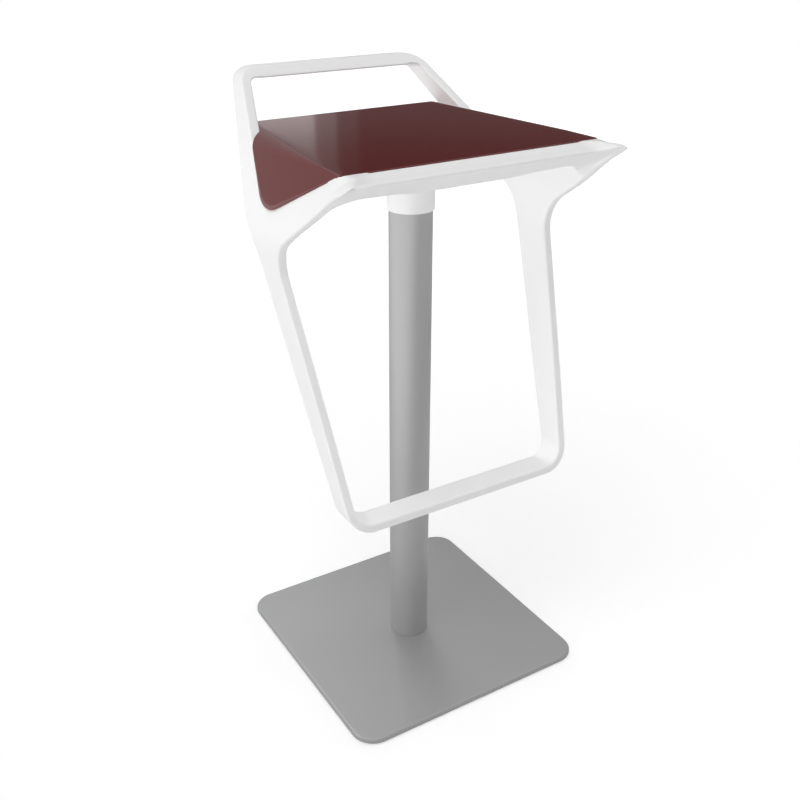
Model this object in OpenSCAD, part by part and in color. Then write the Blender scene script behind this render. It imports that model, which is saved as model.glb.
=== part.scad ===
// Swivel bar stool: a one-piece moulded ribbon frame with footrest and low back
// turns on a fixed-height column. The sitter faces -Y and the floor is at z = 0.

/* [Base] */
// Side of the square base
base_side = 390; // [340:5:440]
// Corner radius of the base
base_corner_r = 34; // [15:1:60]
// Thickness of the soft pad under the whole base
pad_t = 1.5; // [1:0.5:4]
// Distance from the base edge to the pad's edge
pad_inset = 6; // [4:1:20]
// Thickness of the steel ballast plate
plate_t = 7; // [6:0.5:12]
// Thickness of the pressed sheet cover
cover_t = 1.2; // [0.8:0.1:2]
// Radius rolled on the rim of the cover
cover_rim_r = 3.5; // [1.5:0.5:5]

/* [Column] */
// Outer radius of the column tube
column_r = 30; // [26:0.5:36]
// Wall of the column tube
column_wall = 2; // [1.5:0.5:3]
// Height of the top of the column tube
column_top = 742; // [700:1:752]
// Height of the steel plug in the foot of the tube
foot_plug_h = 25; // [20:1:40]
// Number of screws that hold the plug on the plate
foot_screw_n = 4; // [3:1:6]
// Distance of the foot screws from the axis
foot_screw_ring = 17; // [12:0.5:18]
// Shank radius of a foot screw
foot_screw_r = 4; // [3:0.5:5]
// Length of a foot screw
foot_screw_l = 22; // [16:1:26]

/* [Swivel] */
// Radius of the spindle
spindle_r = 12.5; // [10:0.5:15]
// Thickness of the upper bush's flange
bush_flange_t = 3; // [2:0.5:5]
// Length of the upper bush inside the tube
upper_bush_l = 40; // [25:1:60]
// Length of the lower bush
lower_bush_l = 30; // [20:1:50]
// Distance from the top of the tube to the foot of the lower bush
bush_span = 142; // [110:1:180]
// Thickness of a bearing race
race_t = 3; // [2.5:0.5:5]
// Radius of a bearing ball
ball_r = 3; // [2.5:0.5:4]
// Number of balls
ball_n = 14; // [8:1:16]
// Radius of the ball circle
ball_ring = 21; // [19:0.5:22]
// Depth of the groove in a race
groove_d = 1; // [0.5:0.1:1.5]
// Thickness of the circlip
circlip_t = 1.2; // [1:0.1:2]
// Thickness of the washer above the circlip
stop_washer_t = 2; // [1:0.5:3]
// Thickness of the spindle's head
spindle_head_t = 10; // [6:1:14]

/* [Seat mount] */
// Radius of the steel mount plate
mount_r = 52; // [48:1:60]
// Thickness of the mount plate
mount_t = 5; // [4:0.5:8]
// Distance of the mount screws from the axis
mount_screw_ring = 41; // [39:0.5:44]
// Shank radius of a mount screw
mount_screw_r = 3; // [2.5:0.5:4]
// Thickness of a mount washer
mount_washer_t = 1.6; // [1:0.1:2.5]
// Length of a threaded insert
insert_l = 11; // [8:1:16]
// Wall of the collar that hides the bearing
collar_wall = 2.1; // [1.5:0.1:4]
// Height of the collar's open lower rim
collar_foot = 708; // [690:1:725]

/* [Frame] */
// Height of the widest level of the frame, where its sides fold
fold_z = 709; // [700:1:715]
// Half width of the frame at that fold, at y = 0
fold_x = 217.5; // [205:0.5:230]
// Inward lean of the sides above the fold, in mm per mm of height
lean_up = 0.341; // [0.3:0.005:0.38]
// Inward lean of the legs below the fold, in mm per mm of height
lean_down = 0.112; // [0.08:0.002:0.14]
// Toe-in of the sides above the fold, in mm per mm of depth
toe_up = 0.083; // [0.06:0.001:0.1]
// Toe-in of the legs, in mm per mm of depth
toe_down = 0.036; // [0.02:0.001:0.05]
// Softness of the fold, as the width over which both sides blend
fold_blend = 10; // [4:1:20]
// Thickness of the arms and wings
arm_t = 14; // [11:0.5:18]
// Thickness of the legs and the footrest
leg_t = 13; // [10:0.5:16]
// Height of the backrest bar's edge, measured along the slope of the arms
back_t = 25; // [18:0.5:28]
// Radius on the long edges of the ribbon
edge_r = 4.5; // [2:0.5:5]
// Outer radius where the legs turn into the footrest
foot_corner_r = 40; // [32:1:55]
// Outer radius where the arms turn into the backrest
back_corner_r = 38; // [34:1:50]
// Height of the underside of the footrest
footrest_z = 326; // [300:1:360]
// Fillet between leg and wing
crotch_r = 47; // [30:1:60]
// Fillet behind the frame, between leg and arm
rear_r = 100; // [60:5:140]
// Fillet at the bottom of the V between wing and arm
vee_r = 53; // [30:1:60]

/* [Seat] */
// Height of the seat's flat top
seat_z = 807; // [795:1:820]
// Thickness of the seat shell
pan_t = 4; // [3:0.5:5]
// Depth of the seat's front edge before the axis
pan_front = 152; // [140:1:160]
// Depth of the seat's rear edge behind the axis
pan_rear = 176; // [165:1:180]
// Half width of the seat at its front crease
crease_x = 186.5; // [180:0.5:190]
// Toe-in of the seat's side creases, in mm per mm of depth
crease_toe = 0.0476; // [0.03:0.001:0.06]
// Angle of the side flaps from the vertical
flap_lean = 22.3; // [18:0.1:26]
// Growth of the crease radius towards the back, in mm per mm
crease_growth = 0.15; // [0.1:0.01:0.18]
// Smallest crease radius, at the front
crease_r = 2.5; // [1:0.5:4]
// Height of the bosses that carry the seat shell on the deck
pan_boss_h = 4; // [3:0.5:6]
// Thickness of the frame's deck
deck_t = 5; // [4:0.5:7]
// Thickness of a rib under the deck
rib_t = 4; // [3:0.5:6]
// Thickness of the front rail's two bands
rail_t = 9; // [7:0.5:11]
// Width of the rail's lower band in the middle
rail_depth = 70; // [55:1:75]
// Width of the lower band at its waist, near the wings
rail_waist = 58; // [48:1:62]

/* [Hidden] */
$fn = 64;
fit = 0.05;
seam = 0.3;
eps = 0.01;

steel = [0.62, 0.62, 0.64];
satin = [0.58, 0.58, 0.58];
white = [0.95, 0.95, 0.95];
red = [0.38, 0.13, 0.13];
polymer = [0.2, 0.2, 0.2];
brass = [0.78, 0.62, 0.28];

// Levels of the base and the column, from the floor up
plate_z = pad_t;
plate_top = plate_z + plate_t;
cover_top = plate_top + cover_t;
tube_in_r = column_r - column_wall;
lower_bush_z = column_top - bush_span;
lower_race_z = column_top + bush_flange_t;
ball_z = lower_race_z + race_t - groove_d + ball_r;
upper_race_z = ball_z + ball_r - groove_d;
head_z = upper_race_z + race_t;
mount_z = head_z + spindle_head_t;
boss_z = mount_z + mount_t;
head_r = 24;
race_in_r = spindle_r + 3;
race_out_r = 26;
collar_in_r = column_r + 0.4;
collar_r = collar_in_r + collar_wall;
collar_top_t = 3;
stop_washer_z = lower_bush_z - stop_washer_t - 2 * fit;
circlip_z = stop_washer_z - circlip_t - 2 * fit;
spindle_foot_z = circlip_z - 5;
groove_r = spindle_r - 1;
csk_h = 4.2;
csk_r = foot_screw_r + csk_h;
deck_top = seat_z - pan_t - pan_boss_h;
deck_z = deck_top - deck_t;

// Side view of the ribbon, as [y, z]: lines that its edges follow
leg_front = [[-157.8, 306], [-24.2, 688.7]];
wing_low = [[-24.2, 688.7], [-185, 798]];
leg_rear = [[-121.1, 306], [33.4, 681]];
arm_rear = [[33.4, 681], [251, 873]];
vee_front = [[5.1, 726.1], [-152, 805.5]];
vee_rear = [[5.1, 726.1], [210, 874.5]];
ridge = [-180, 798];
rail_top = [-pan_front, seat_z];

// Line helpers in the side view
function along(p, q, t) = p + (q - p) * t;
function unit(v) = v / norm(v);
function y_on(l, z) = l[0][0] + (z - l[0][1]) * (l[1][0] - l[0][0]) / (l[1][1] - l[0][1]);
// Centre of the arc of radius r that rounds the corner c between points a and b
function arc_centre(a, c, b, r) =
    let (u = unit(a - c), w = unit(b - c), m = unit(u + w), s = sqrt((1 - u * w) / 2))
    c + m * r / s;
// Foot of the perpendicular from point p on the line from c to a
function foot(c, a, p) = c + unit(a - c) * ((p - c) * unit(a - c));

crotch_c = arc_centre(leg_front[0], leg_front[1], wing_low[1], crotch_r);
crotch_lo = foot(leg_front[1], leg_front[0], crotch_c)[1];
crotch_hi = foot(leg_front[1], wing_low[1], crotch_c)[1];
rear_c = arc_centre(leg_rear[0], leg_rear[1], arm_rear[1], rear_r);
rear_lo = foot(leg_rear[1], leg_rear[0], rear_c)[1];
rear_hi = foot(leg_rear[1], arm_rear[1], rear_c)[1];
vee_c = arc_centre(vee_front[1], vee_front[0], vee_rear[1], vee_r);
vee_lo_f = foot(vee_front[0], vee_front[1], vee_c)[1];
vee_lo_r = foot(vee_front[0], vee_rear[1], vee_c)[1];
vee_z = vee_c[1] - vee_r;
// Heights above the bottom of the V at which its fillet is divided, from its bottom to a line
function vee_rises(line) =
    let (d = line[1] - line[0], turn = abs(atan(d[1] / d[0])))
    [for (a = [7, 12, 18, 24, 30, 36, 42]) if (a < turn - 2) vee_r * (1 - cos(a)), vee_r * (1 - cos(turn))];

// Front edge of the ribbon at height z: leg, fillet, then the wing's lower edge
function front_y(z) =
    z < crotch_lo ? y_on(leg_front, z) :
    z < crotch_hi ? crotch_c[0] + sqrt(pow(crotch_r, 2) - pow(z - crotch_c[1], 2)) :
    z < ridge[1] ? y_on(wing_low, z) :
    y_on([ridge, rail_top], z);
// Rear edge of the ribbon at height z: leg, fillet, then the arm
function rear_y(z) =
    z < rear_lo ? y_on(leg_rear, z) :
    z < rear_hi ? rear_c[0] - sqrt(pow(rear_r, 2) - pow(z - rear_c[1], 2)) :
    y_on(arm_rear, z);
// Edges of the V that the seat's flap fills, front side and rear side
function vee_front_y(z) =
    z < vee_lo_f ? vee_c[0] - sqrt(max(0, pow(vee_r, 2) - pow(z - vee_c[1], 2))) : y_on(vee_front, z);
function vee_rear_y(z) =
    z < vee_lo_r ? vee_c[0] + sqrt(max(0, pow(vee_r, 2) - pow(z - vee_c[1], 2))) : y_on(vee_rear, z);

// Outer face of the frame's side, as x at [y, z], with the fold blended
function upper_x(y, z) = fold_x - toe_up * y - lean_up * (z - fold_z);
function lower_x(y, z) = fold_x - toe_down * y + lean_down * (z - fold_z);
function side_x(y, z) =
    let (a = upper_x(y, z), b = lower_x(y, z), h = max(fold_blend - abs(a - b), 0) / fold_blend)
    min(a, b) - h * h * fold_blend / 4;

// A station of a loft: its four corners, then the edge radii at front and rear
function level(z, yf, yr, t, rf, rr) = [
    [side_x(yf, z), yf, z],
    [side_x(yr, z), yr, z],
    [side_x(yr, z) - t, yr, z],
    [side_x(yf, z) - t, yf, z],
    rf, rr
];
// Three points that round the corner c towards its neighbours a and b
function rounded(c, a, b, r) = [
    for (q = [0, 45, 90])
        c + unit(a - c) * r * (1 - sin(q)) + unit(b - c) * r * (1 - cos(q))
];
function section(s) = concat(
    rounded(s[0], s[3], s[1], s[4]),
    rounded(s[1], s[0], s[2], s[5]),
    rounded(s[2], s[1], s[3], s[5]),
    rounded(s[3], s[2], s[0], s[4])
);
function flip_x(s) = [for (i = [0:5]) i < 4 ? [-s[i][0], s[i][1], s[i][2]] : s[i]];
function reversed(l) = [for (i = [len(l) - 1:-1:0]) l[i]];

// Closed skin through a list of rings with equal, even numbers of points
module skin(rings) {
    n = len(rings[0]);
    last = len(rings) - 1;
    points = [for (ring = rings) each ring];
    sides = [
        for (k = [0:last - 1], i = [0:n - 1])
            let (a = k * n + i, b = k * n + (i + 1) % n)
            each [[a, b, b + n], [a, b + n, a + n]]
    ];
    strip = [for (i = [0:n / 2 - 2]) [i, i + 1, n - 2 - i, n - 1 - i]];
    ends = concat([for (q = strip) reversed(q)], [for (q = strip) [for (i = q) last * n + i]]);
    polyhedron(points, concat(sides, ends));
}

// Turn from leg to footrest: station at angle a, from the leg's normal down to -90
foot_lean = atan(lean_down);
function foot_centre_x(y) =
    lower_x(y, footrest_z) - foot_corner_r / tan((90 + foot_lean) / 2);
function foot_point(y, a, r) = [
    foot_centre_x(y) + r * cos(a), y, footrest_z + foot_corner_r + r * sin(a)
];
function foot_station(a) =
    let (
        z = footrest_z + foot_corner_r + (foot_corner_r - leg_t / 2) * sin(a),
        yf = front_y(z), yr = rear_y(z), ri = foot_corner_r - leg_t
    ) [
        foot_point(yf, a, foot_corner_r), foot_point(yr, a, foot_corner_r),
        foot_point(yr, a, ri), foot_point(yf, a, ri), edge_r, edge_r
    ];

// Turn from arm to backrest: station at angle a, from the arm's normal up to 90
arm_dir = unit(vee_rear[1] - vee_rear[0]);
rear_dir = unit(arm_rear[1] - arm_rear[0]);
function arm_tilt(dir) = atan(toe_up * dir[0] + lean_up * dir[1]);
function back_point(top, dir, a, r) =
    let (
        tilt = arm_tilt(dir),
        x = upper_x(top[0], top[1]) - back_corner_r * tan((90 - tilt) / 2),
        p = top + dir * (r * sin(a) - back_corner_r)
    ) [x + r * cos(a), p[0], p[1]];
function back_station(a) =
    let (
        tilt = arm_tilt(arm_dir),
        t = arm_t + (back_t - arm_t) * (a - tilt) / (90 - tilt),
        ri = back_corner_r - t
    ) [
        back_point(vee_rear[1], arm_dir, a, back_corner_r),
        back_point(arm_rear[1], rear_dir, a, back_corner_r),
        back_point(arm_rear[1], rear_dir, a, ri),
        back_point(vee_rear[1], arm_dir, a, ri), edge_r, edge_r
    ];
// Roots of wing and arm, sunk in the leg; they lap over each other below the V
vee_lap = 10;
root_z = vee_z - 3;
function root_level(z, front) =
    let (yf = front ? front_y(z) : vee_c[0] - vee_lap, yr = front ? vee_c[0] + vee_lap : rear_y(z))
    level(z, yf, yr, arm_t, front ? edge_r : 1, front ? 1 : edge_r);
function sunk_level(front) =
    let (inset = 1.5, s = root_level(vee_z - vee_lap, front))
    [
        s[0] + [-inset, inset, 0], s[1] + [-inset, -inset, 0],
        s[2] + [inset, -inset, 0], s[3] + [inset, inset, 0], s[4], s[5]
    ];
function roots(front) = [sunk_level(front), root_level(root_z, front), root_level(vee_z - 1, front)];
// Station of the arm between its root in the V and its turn into the backrest
arm_root_f = [vee_c[0], vee_z];
arm_root_r = [rear_y(vee_z), vee_z];
arm_end_f = vee_rear[1] - arm_dir * back_corner_r * (1 - sin(arm_tilt(arm_dir)));
arm_end_r = arm_rear[1] - rear_dir * back_corner_r * (1 - sin(arm_tilt(rear_dir)));
function arm_front(t) =
    let (p = along(arm_root_f, arm_end_f, t), z = p[1]) [vee_rear_y(z), z];
function arm_station(t) =
    let (
        f = arm_front(t), r = along(arm_root_r, arm_end_r, t),
        ef = f[1] < deck_top ? 1 : edge_r
    ) [
        [side_x(f[0], f[1]), f[0], f[1]], [side_x(r[0], r[1]), r[0], r[1]],
        [side_x(r[0], r[1]) - arm_t, r[0], r[1]], [side_x(f[0], f[1]) - arm_t, f[0], f[1]],
        ef, edge_r
    ];

// Thickness of the ribbon at height z: the leg's, then the arm's above the fold
function ribbon_t(z) =
    leg_t + (arm_t - leg_t) * min(1, max(0, (z - crotch_lo) / (root_z - crotch_lo)));

leg_top_z = footrest_z + foot_corner_r * (1 - sin(foot_lean));
leg_levels = concat(
    [root_z],
    [for (rise = [15, 9, 4, 0, -4, -9, -17, -26, -37, -48, -59]) fold_z + rise],
    [600, 500, leg_top_z + 10]
);
leg_stations = [
    for (z = leg_levels) level(z, front_y(z), rear_y(z), ribbon_t(z), edge_r, edge_r)
];
foot_stations = [for (i = [0:6]) foot_station(-foot_lean - (90 - foot_lean) * i / 6)];

// Legs and footrest: one U from the V on one side to the V on the other
module leg_loop() {
    half = concat(leg_stations, foot_stations);
    other = reversed([for (s = half) flip_x(s)]);
    skin([for (s = concat(half, other)) section(s)]);
}

// Arms and backrest: one U over the seat
arm_steps = concat(
    [for (rise = vee_rises(vee_rear)) rise / (arm_end_f[1] - vee_z)],
    [0.12, 0.18, 0.25, 0.5, 0.75, 1]
);
back_stations = [
    for (i = [1:7])
        let (tilt = arm_tilt(arm_dir))
        back_station(tilt + (90 - tilt) * i / 7)
];
module arm_loop() {
    half = concat(roots(false), [for (t = arm_steps) arm_station(t)], back_stations);
    other = [for (s = half) flip_x(s)];
    skin([for (s = concat(other, reversed(half))) section(s)]);
}

// Wings: from the V forward and up to the pointed tips of the front rail
wing_levels = concat(
    [for (rise = concat(vee_rises(vee_front), [15, 35, 55])) vee_z + rise],
    [ridge[1] - 2, ridge[1] + 1, rail_top[1] - 2.2]
);
module wing() {
    upper = [for (z = wing_levels) level(z, front_y(z), vee_front_y(z), arm_t, edge_r, 1)];
    skin(reversed([for (s = concat(roots(true), upper)) section(s)]));
}

// Everything between the two sides, less an inset from their outer faces
module between_sides(inset) {
    size = 1000;
    intersection_for (side = [0, 1]) mirror([side, 0, 0])
        translate([fold_x - inset, 0, fold_z])
            rotate([0, -atan(lean_up), atan(toe_up)])
                translate([-size, -size / 2, -size / 2])
                    cube(size);
}

// Front rail: two bands that meet in a ridge; the lower one narrows beside the hub
// and runs down into the wings in a fillet
band_dir = unit([61, -35]);
band_in = [-band_dir[1], band_dir[0]];
belly_half = 62;
waist_from = 112;
waist_to = 158;
wing_fillet_r = 26;
apron_depth = 96;
rail_xs = concat(
    [for (i = [0:16]) waist_to * i / 16],
    [for (a = [15:15:75]) waist_to + wing_fillet_r * sin(a)],
    [waist_to + wing_fillet_r, fold_x]
);
function band_width(x) =
    let (t = min(1, max(0, (x - belly_half) / (waist_from - belly_half))))
    x >= waist_to + wing_fillet_r ? apron_depth :
    x > waist_to ? rail_waist + wing_fillet_r - sqrt(pow(wing_fillet_r, 2) - pow(x - waist_to, 2)) :
    rail_waist + (rail_depth - rail_waist) * (1 + cos(180 * t)) / 2;
function rail_ring(x) =
    let (
        foot = ridge + band_dir * band_width(abs(x)), back = foot + band_in * rail_t,
        knee_z = deck_z + 2, knee = back + band_dir * (knee_z - back[1]) / band_dir[1]
    )
    [for (p = [rail_top, ridge, foot, back, knee, [-pan_front, knee_z]]) [x, p[0], p[1]]];
module front_rail() {
    xs = concat([for (x = reversed(rail_xs)) -x], [for (i = [1:len(rail_xs) - 1]) rail_xs[i]]);
    intersection() {
        skin([for (x = reversed(xs)) rail_ring(x)]);
        between_sides(arm_t / 2);
    }
}

// Deck that carries the seat shell, with its boss and ribs underneath
deck_half = [
    [188, -166], [188, -146], [182, -139], [172, -126], [157, 96], [167, 112], [166, 150], [146, 168]
];
boss_r = 50;
boss_bore = 27;
rib_rise = 6;
rib_ends = [
    [[34, -28], [172, -138]], [[34, 28], [156, 118]], [[46, 0], [160, 0]],
    [[60, -138], [60, 158]], [[0, -46], [0, -140]], [[0, 46], [0, 158]],
    [[0, 158], [150, 158]], [[0, 114], [158, 114]]
];
module deck_outline() {
    polygon(concat(deck_half, [for (p = reversed(deck_half)) [-p[0], p[1]]]));
}
module rib_shape(a, b) {
    translate(a)
        rotate(atan2(b[1] - a[1], b[0] - a[0]))
            translate([0, -rib_t / 2])
                square([norm(b - a), rib_t]);
}
module deck() {
    translate([0, 0, deck_z])
        linear_extrude(deck_t)
            deck_outline();
    translate([0, 0, boss_z])
        difference() {
            cylinder(r = boss_r, h = deck_z - boss_z + 1);
            translate([0, 0, -1])
                cylinder(r = boss_bore, h = deck_z - boss_z + 1);
        }
    translate([0, 0, boss_z + rib_rise])
        linear_extrude(deck_z - boss_z - rib_rise + 1)
            for (side = [0, 1], e = rib_ends)
                mirror([side, 0])
                    rib_shape(e[0], e[1]);
}

pan_screw_spots = [[112, -112], [122, 36], [104, 138]];
pan_boss_r = 7;
pan_screw_r = 1.9;
pan_screw_head_r = 4;
pan_screw_head_h = 3;
pan_screw_top = seat_z - 1.5;
insert_r = mount_screw_r + 2;
module at_pan_screws() {
    for (side = [-1, 1], p = pan_screw_spots)
        translate([side * p[0], p[1], 0])
            children();
}
module at_mount_screws() {
    for (a = [45:90:315])
        rotate([0, 0, a])
            translate([mount_screw_ring, 0, 0])
                children();
}
module at_foot_screws() {
    for (i = [0:foot_screw_n - 1])
        rotate([0, 0, 45 + 360 * i / foot_screw_n])
            translate([foot_screw_ring, 0, 0])
                children();
}

// Square tray shape from z = 0 up, its vertical corners of radius r and its top rim rolled
module rolled_square(half, r, rim, height) {
    c = half - r;
    translate([-c, -c, 0])
        cube([2 * c, 2 * c, height]);
    for (a = [0:90:270])
        rotate([0, 0, a]) {
            translate([c, c, 0])
                rotate_extrude()
                    rolled_edge(r, rim, height);
            translate([c, c, 0])
                rotate([90, 0, 0])
                    linear_extrude(2 * c)
                        rolled_edge(r, rim, height);
        }
}
module rolled_edge(r, rim, height) {
    square([r - rim, height]);
    square([r, height - rim]);
    translate([r - rim, height - rim])
        intersection() {
            circle(rim);
            square(rim);
        }
}

// Square with round corners, as wide as the base less an inset on each side
module base_outline(inset) {
    half = base_side / 2 - inset;
    r = max(1, base_corner_r - inset);
    for (a = [0, 90])
        rotate(a) {
            square([2 * half, 2 * (half - r)], center = true);
            for (s = [-1, 1])
                translate([s * (half - r), s * (half - r)])
                    circle(r);
        }
}

module base_plate() {
    color(steel)
        translate([0, 0, plate_z])
            difference() {
                linear_extrude(plate_t)
                    base_outline(cover_rim_r);
                at_foot_screws() {
                    translate([0, 0, -eps])
                        cylinder(r = foot_screw_r + fit, h = plate_t + 1, $fn = 32);
                    translate([0, 0, -eps])
                        cylinder(r1 = csk_r + fit, r2 = foot_screw_r + fit, h = csk_h, $fn = 32);
                }
            }
}

module base_cover() {
    skirt_gap = 1.5;
    color(satin)
        translate([0, 0, plate_z + skirt_gap])
            difference() {
                rolled_square(base_side / 2, base_corner_r, cover_rim_r, cover_top - plate_z - skirt_gap);
                translate([0, 0, -eps])
                    rolled_square(
                        base_side / 2 - cover_t, base_corner_r - cover_t,
                        cover_rim_r - cover_t, plate_top - plate_z - skirt_gap + eps
                    );
                translate([0, 0, -1])
                    cylinder(r = column_r + seam, h = cover_top, $fn = 96);
            }
}

module base_pad() {
    color(polymer)
        linear_extrude(pad_t)
            base_outline(pad_inset);
}

module foot_screws() {
    socket_r = 2.9;
    socket_depth = 3;
    color(steel)
        at_foot_screws()
            translate([0, 0, plate_z])
                difference() {
                    union() {
                        cylinder(r1 = csk_r, r2 = foot_screw_r, h = csk_h, $fn = 32);
                        cylinder(r = foot_screw_r, h = foot_screw_l, $fn = 32);
                    }
                    translate([0, 0, -eps])
                        cylinder(r = socket_r, h = socket_depth, $fn = 6);
                }
}

module foot_plug() {
    color(steel)
        translate([0, 0, plate_top])
            difference() {
                cylinder(r = tube_in_r - fit, h = foot_plug_h);
                at_foot_screws()
                    translate([0, 0, -eps])
                        cylinder(r = foot_screw_r + fit, h = foot_screw_l - plate_t + 1, $fn = 32);
            }
}

module column_tube() {
    color(satin)
        translate([0, 0, plate_top])
            ring(column_r, tube_in_r, column_top - plate_top);
}

module ring(outer, inner, height) {
    difference() {
        cylinder(r = outer, h = height, $fn = 96);
        translate([0, 0, -1])
            cylinder(r = inner, h = height + 2, $fn = 96);
    }
}

module upper_bush() {
    flange_r = column_r - 1;
    color(polymer)
        difference() {
            union() {
                translate([0, 0, column_top])
                    cylinder(r = flange_r, h = bush_flange_t, $fn = 96);
                translate([0, 0, column_top - upper_bush_l])
                    cylinder(r = tube_in_r - fit, h = upper_bush_l + eps, $fn = 96);
            }
            translate([0, 0, column_top - upper_bush_l - 1])
                cylinder(r = spindle_r + fit, h = upper_bush_l + bush_flange_t + 2);
        }
}

module lower_bush() {
    color(polymer)
        translate([0, 0, lower_bush_z])
            ring(tube_in_r - fit, spindle_r + fit, lower_bush_l);
}

// Torus that the balls run in, cut out of a race
module groove() {
    translate([0, 0, ball_z])
        rotate_extrude()
            translate([ball_ring, 0])
                circle(ball_r + fit, $fn = 32);
}

module bearing_lower_race() {
    color(steel)
        difference() {
            translate([0, 0, lower_race_z])
                ring(race_out_r, race_in_r, race_t);
            groove();
        }
}

module bearing_upper_race() {
    color(steel)
        difference() {
            translate([0, 0, upper_race_z])
                ring(race_out_r, race_in_r, race_t);
            groove();
        }
}

module at_balls() {
    for (i = [0:ball_n - 1])
        rotate([0, 0, 360 * i / ball_n])
            translate([ball_ring, 0, ball_z])
                children();
}

module bearing_balls() {
    color(steel)
        at_balls()
            sphere(ball_r, $fn = 24);
}

module bearing_cage() {
    half_width = 3.5;
    cage_t = 2;
    color(polymer)
        difference() {
            translate([0, 0, ball_z - cage_t / 2])
                ring(ball_ring + half_width, ball_ring - half_width, cage_t);
            at_balls()
                translate([0, 0, -cage_t])
                    cylinder(r = ball_r + 2 * fit, h = 2 * cage_t, $fn = 24);
        }
}

module spindle() {
    chamfer = 1.5;
    color(steel)
        difference() {
            union() {
                translate([0, 0, head_z])
                    cylinder(r = head_r, h = spindle_head_t);
                translate([0, 0, spindle_foot_z + chamfer])
                    cylinder(r = spindle_r, h = head_z - spindle_foot_z);
                translate([0, 0, spindle_foot_z])
                    cylinder(r1 = spindle_r - chamfer, r2 = spindle_r, h = chamfer);
            }
            translate([0, 0, circlip_z - fit])
                ring(spindle_r + 1, groove_r, circlip_t + 2 * fit);
        }
}

module stop_washer() {
    washer_r = 20;
    color(steel)
        translate([0, 0, stop_washer_z])
            ring(washer_r, spindle_r + fit, stop_washer_t);
}

module circlip() {
    clip_r = 15.5;
    mouth = 30;
    color(steel)
        translate([0, 0, circlip_z])
            difference() {
                ring(clip_r, groove_r + fit, circlip_t);
                translate([0, 0, -1])
                    linear_extrude(circlip_t + 2)
                        polygon([[0, 0], for (s = [1, -1]) 2 * clip_r * [s * sin(mouth), -cos(mouth)]]);
            }
}

module mount_plate() {
    color(steel)
        translate([0, 0, mount_z])
            difference() {
                cylinder(r = mount_r, h = mount_t, $fn = 96);
                at_mount_screws()
                    translate([0, 0, -1])
                        cylinder(r = mount_screw_r + seam, h = mount_t + 2, $fn = 32);
            }
}

module mount_washers() {
    color(steel)
        at_mount_screws()
            translate([0, 0, mount_z - mount_washer_t])
                ring(2 * mount_screw_r, mount_screw_r + 2 * fit, mount_washer_t);
}

module mount_screws() {
    head_h = mount_screw_r + 1;
    reach = insert_l - 2;
    color(steel)
        at_mount_screws()
            translate([0, 0, mount_z - mount_washer_t])
                difference() {
                    union() {
                        translate([0, 0, -head_h])
                            cylinder(r = mount_screw_r + 2, h = head_h, $fn = 32);
                        translate([0, 0, -eps])
                            cylinder(r = mount_screw_r, h = mount_washer_t + mount_t + reach, $fn = 32);
                    }
                    translate([0, 0, -head_h - eps])
                        cylinder(r = mount_screw_r - 0.2, h = head_h / 2, $fn = 6);
                }
}

// Open-bottomed sleeve that hangs over the bearing and turns with the frame
module hub_collar() {
    color(white)
        difference() {
            translate([0, 0, collar_foot])
                cylinder(r = collar_r, h = mount_z - collar_foot, $fn = 96);
            translate([0, 0, collar_foot - 1])
                cylinder(r = collar_in_r, h = mount_z - collar_top_t - collar_foot + 1, $fn = 96);
            translate([0, 0, collar_foot])
                cylinder(r = head_r + fit, h = mount_z - collar_foot + 1, $fn = 96);
        }
}

module seat_frame() {
    color(white)
        difference() {
            union() {
                leg_loop();
                arm_loop();
                wing();
                mirror([1, 0, 0]) wing();
                front_rail();
                deck();
            }
            at_mount_screws()
                translate([0, 0, boss_z - eps])
                    cylinder(r = insert_r + fit, h = insert_l + 1, $fn = 32);
            at_pan_screws()
                translate([0, 0, deck_z - 1])
                    cylinder(r = pan_screw_r + seam, h = deck_t + 2, $fn = 24);
        }
}

module frame_inserts() {
    color(brass)
        at_mount_screws()
            translate([0, 0, boss_z])
                ring(insert_r, mount_screw_r + fit, insert_l);
}

// Seat shell: flat top, side creases whose radius grows to the back, and flaps
flap_margin = 12;
pan_foot_z = vee_z - flap_margin;
crease_start = 37;
pan_stations = [pan_rear, -pan_front + crease_start + crease_r / crease_growth, -pan_front + seam];
function crease_at(y) = crease_x - crease_toe * (y + pan_front);
function crease_r_at(y) = max(crease_r, crease_growth * (y + pan_front - crease_start));
function pan_half(y, inner) =
    let (
        turn = 90 - flap_lean, m = tan(turn / 2),
        r = max(crease_r / 3, crease_r_at(y) - inner),
        cx = crease_at(y) - (inner + r) * m, cz = seat_z - inner - r,
        arc = [for (i = [0:8]) let (a = turn * i / 8) [cx + r * sin(a), cz + r * cos(a)]],
        drop = (arc[8][1] - pan_foot_z) / cos(flap_lean)
    )
    concat(arc, [arc[8] + drop * [sin(flap_lean), -cos(flap_lean)]]);
function pan_ring(y) =
    let (o = pan_half(y, 0), i = pan_half(y, pan_t))
    [
        for (p = concat(
            [for (q = reversed(o)) [-q[0], q[1]]], o,
            reversed(i), [for (q = i) [-q[0], q[1]]]
        )) [p[0], y, p[1]]
    ];
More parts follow.
